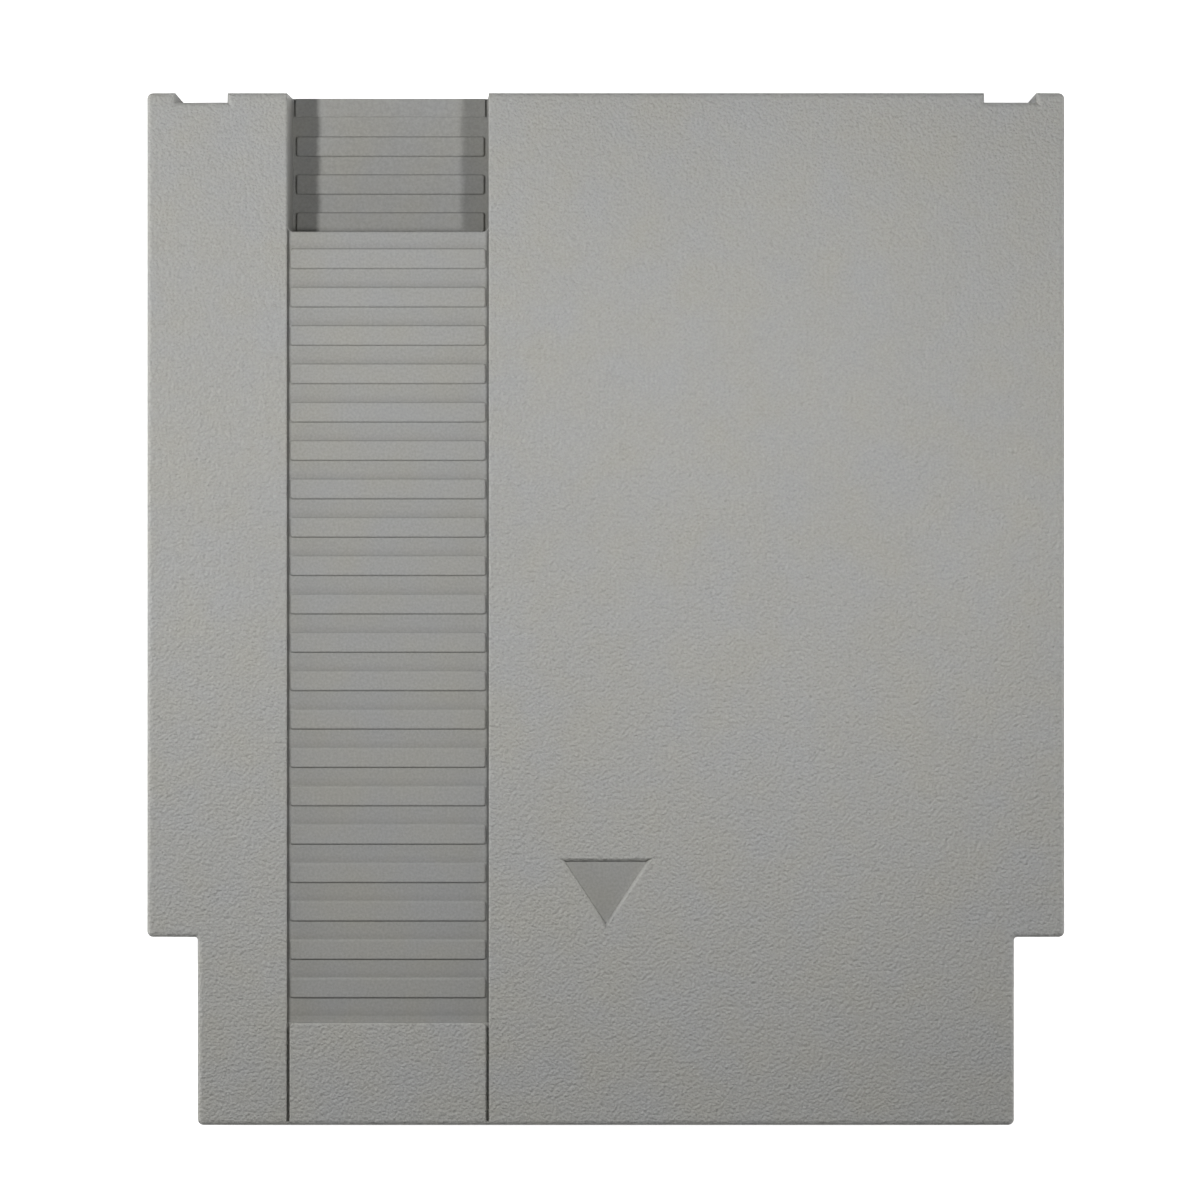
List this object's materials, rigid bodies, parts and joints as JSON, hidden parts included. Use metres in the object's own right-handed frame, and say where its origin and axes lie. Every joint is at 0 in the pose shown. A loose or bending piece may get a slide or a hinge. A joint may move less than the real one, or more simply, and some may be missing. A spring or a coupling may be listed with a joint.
{
  "type": "game cartridge",
  "caption": "Flat plug-in game cartridge: grey moulded case with a ribbed grip strip, finger recess, stepped shoulders and an open mouth around its circuit board's edge connector.",
  "frame": {"origin": "centre of the rear face, on the surface that the cartridge lies on", "axes": "+X to the right and +Y to the top edge as seen from the front, +Z out of the front face"},
  "size_m": [0.12, 0.135, 0.017],
  "materials": {
    "case_plastic": "moulded light grey plastic with a fine grain",
    "screw_steel": "zinc plated steel",
    "board_laminate": "green solder mask on glass laminate",
    "contact_gold": "gold plated copper",
    "chip_epoxy": "moulded black epoxy",
    "lead_tin": "tinned metal",
    "can_aluminium": "bare drawn aluminium",
    "can_sleeve": "dark blue shrink sleeve",
    "can_bung": "black rubber",
    "dipped_ceramic": "dipped ochre resin",
    "solder": "bright solder"
  },
  "bodies": {
    "root": {"front_shell": "case_plastic", "rear_shell": "case_plastic", "case_screws": "screw_steel", "circuit_board": "board_laminate", "front_contacts": "contact_gold", "rear_contacts": "contact_gold", "program_rom_body": "chip_epoxy", "program_rom_pins": "lead_tin", "graphics_rom_body": "chip_epoxy", "graphics_rom_pins": "lead_tin", "lockout_chip_body": "chip_epoxy", "lockout_chip_pins": "lead_tin", "electrolytic_can": "can_aluminium", "electrolytic_sleeve": "can_sleeve", "electrolytic_bung": "can_bung", "electrolytic_leads": "lead_tin", "bypass_capacitor_left": "dipped_ceramic", "bypass_capacitor_left_leads": "lead_tin", "bypass_capacitor_right": "dipped_ceramic", "bypass_capacitor_right_leads": "lead_tin", "solder_joints": "solder"}
  },
  "joints": []
}
